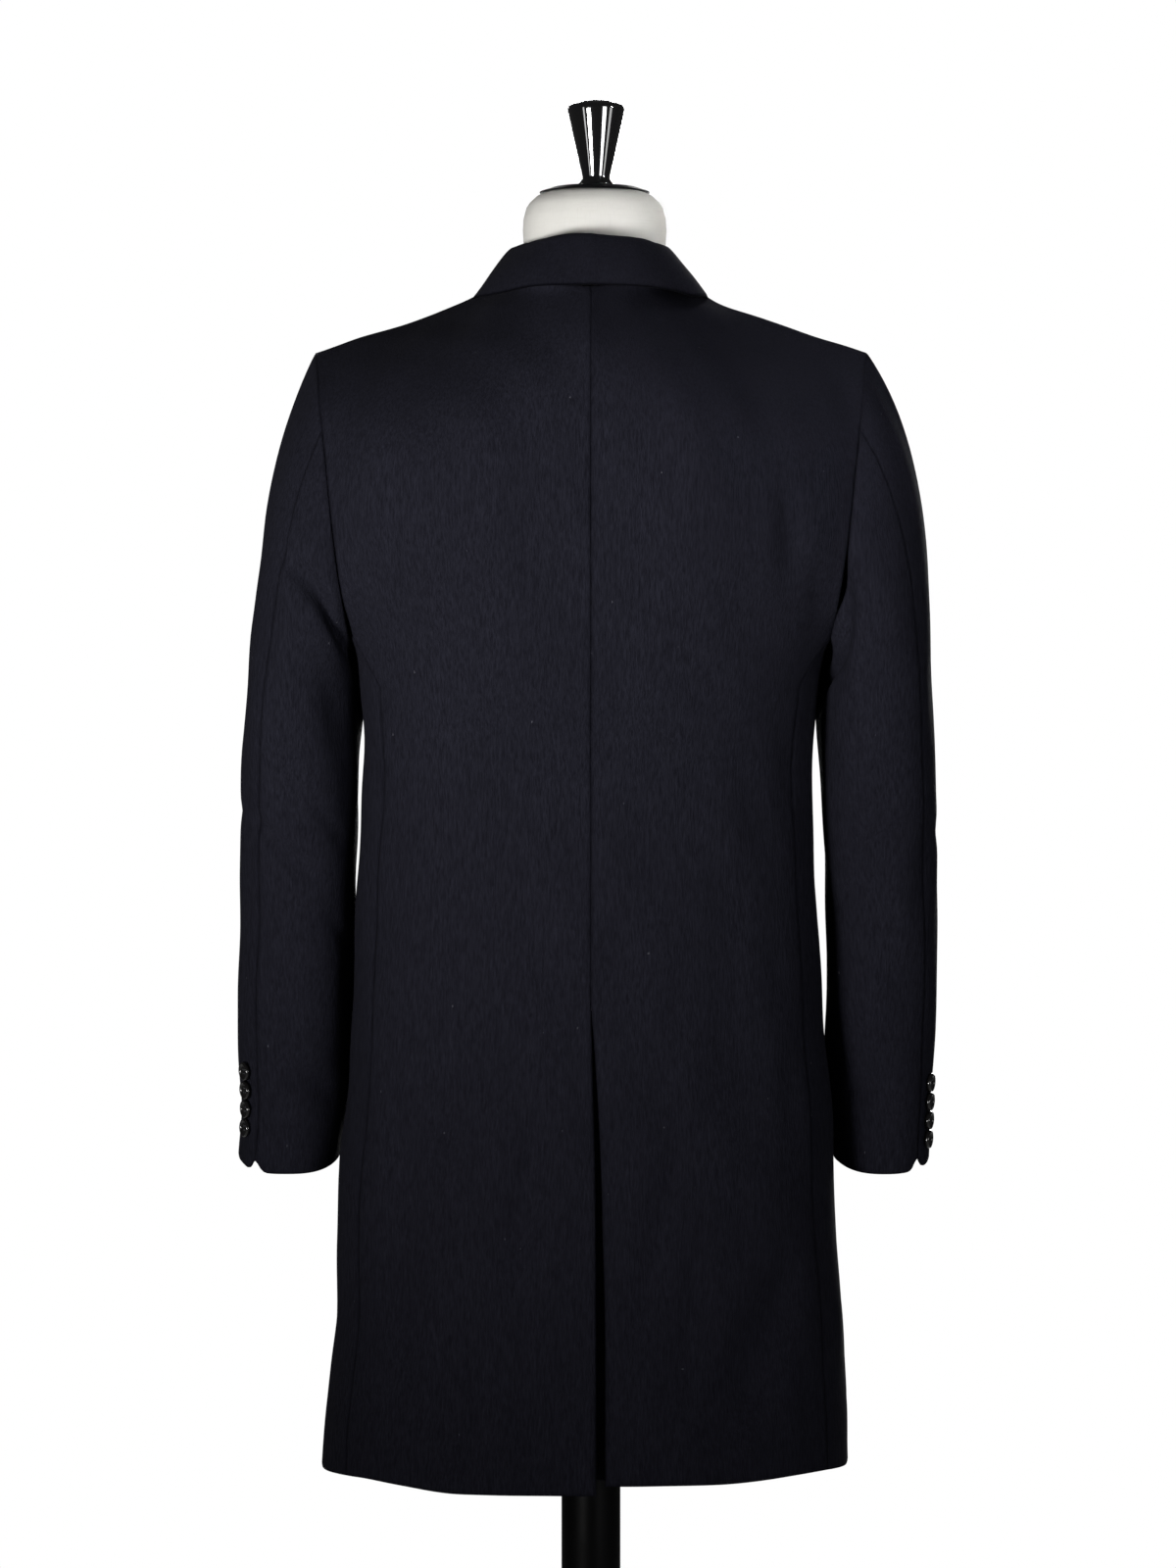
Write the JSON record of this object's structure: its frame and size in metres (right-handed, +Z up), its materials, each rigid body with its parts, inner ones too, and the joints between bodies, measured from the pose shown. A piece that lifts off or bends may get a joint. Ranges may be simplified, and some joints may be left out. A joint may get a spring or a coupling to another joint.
{
  "type": "wool overcoat on dress form",
  "caption": "Single-breasted navy wool overcoat with notch lapels, flap pockets and a back vent, standing on a limbless dress form with a finial, pole and round base.",
  "frame": {"origin": "centre of the base's underside, on the floor", "axes": "+Z up, the coat's front faces -Y, the wearer's left is +X"},
  "size_m": [0.5735, 0.38, 1.6805],
  "materials": {
    "navy_wool": "brushed wool with a short vertical nap",
    "black_horn": "polished",
    "form_linen": "smooth matt cover",
    "black_lacquer": "gloss",
    "black_satin_paint": "satin"
  },
  "bodies": {
    "root": {"back_left": "navy_wool", "back_right": "navy_wool", "vent_underlap": "navy_wool", "front_left": "navy_wool", "front_right": "navy_wool", "lapel_left": "navy_wool", "lapel_right": "navy_wool", "collar": "navy_wool", "top_sleeve_left": "navy_wool", "top_sleeve_right": "navy_wool", "under_sleeve_left": "navy_wool", "under_sleeve_right": "navy_wool", "pocket_flap_left": "navy_wool", "pocket_flap_right": "navy_wool", "front_button_1": "black_horn", "front_button_2": "black_horn", "front_button_3": "black_horn", "cuff_button_left_1": "black_horn", "cuff_button_left_2": "black_horn", "cuff_button_left_3": "black_horn", "cuff_button_left_4": "black_horn", "cuff_button_right_1": "black_horn", "cuff_button_right_2": "black_horn", "cuff_button_right_3": "black_horn", "cuff_button_right_4": "black_horn", "form_torso": "form_linen", "neck_cap": "black_satin_paint", "finial": "black_lacquer", "pole": "black_satin_paint", "base": "black_satin_paint"}
  },
  "joints": []
}
